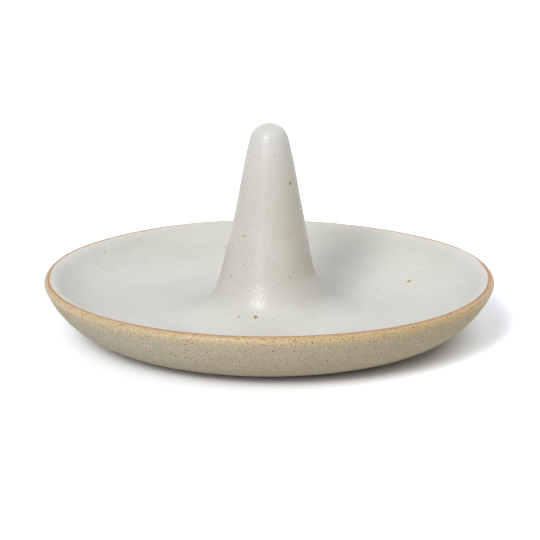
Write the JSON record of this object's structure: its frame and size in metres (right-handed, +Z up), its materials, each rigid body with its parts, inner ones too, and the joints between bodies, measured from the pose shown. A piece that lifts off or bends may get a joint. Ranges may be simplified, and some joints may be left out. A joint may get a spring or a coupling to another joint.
{
  "type": "ring cone",
  "caption": "Shallow round stoneware saucer with a tall tapered cone at its centre for stacking finger rings, off-white glaze inside and bare speckled clay outside.",
  "frame": {"origin": "centre of the foot ring, on the surface that the saucer stands on", "axes": "+Z up along the turning axis of the saucer and the cone, towards the cone's tip"},
  "size_m": [0.12, 0.12, 0.0571],
  "materials": {
    "bare_stoneware": "matte",
    "covered_stoneware": "matte",
    "speckled_glaze": "satin"
  },
  "bodies": {
    "root": {"saucer": "bare_stoneware", "cone": "covered_stoneware", "joint_coil": "covered_stoneware", "glaze_coat": "speckled_glaze"}
  },
  "joints": []
}
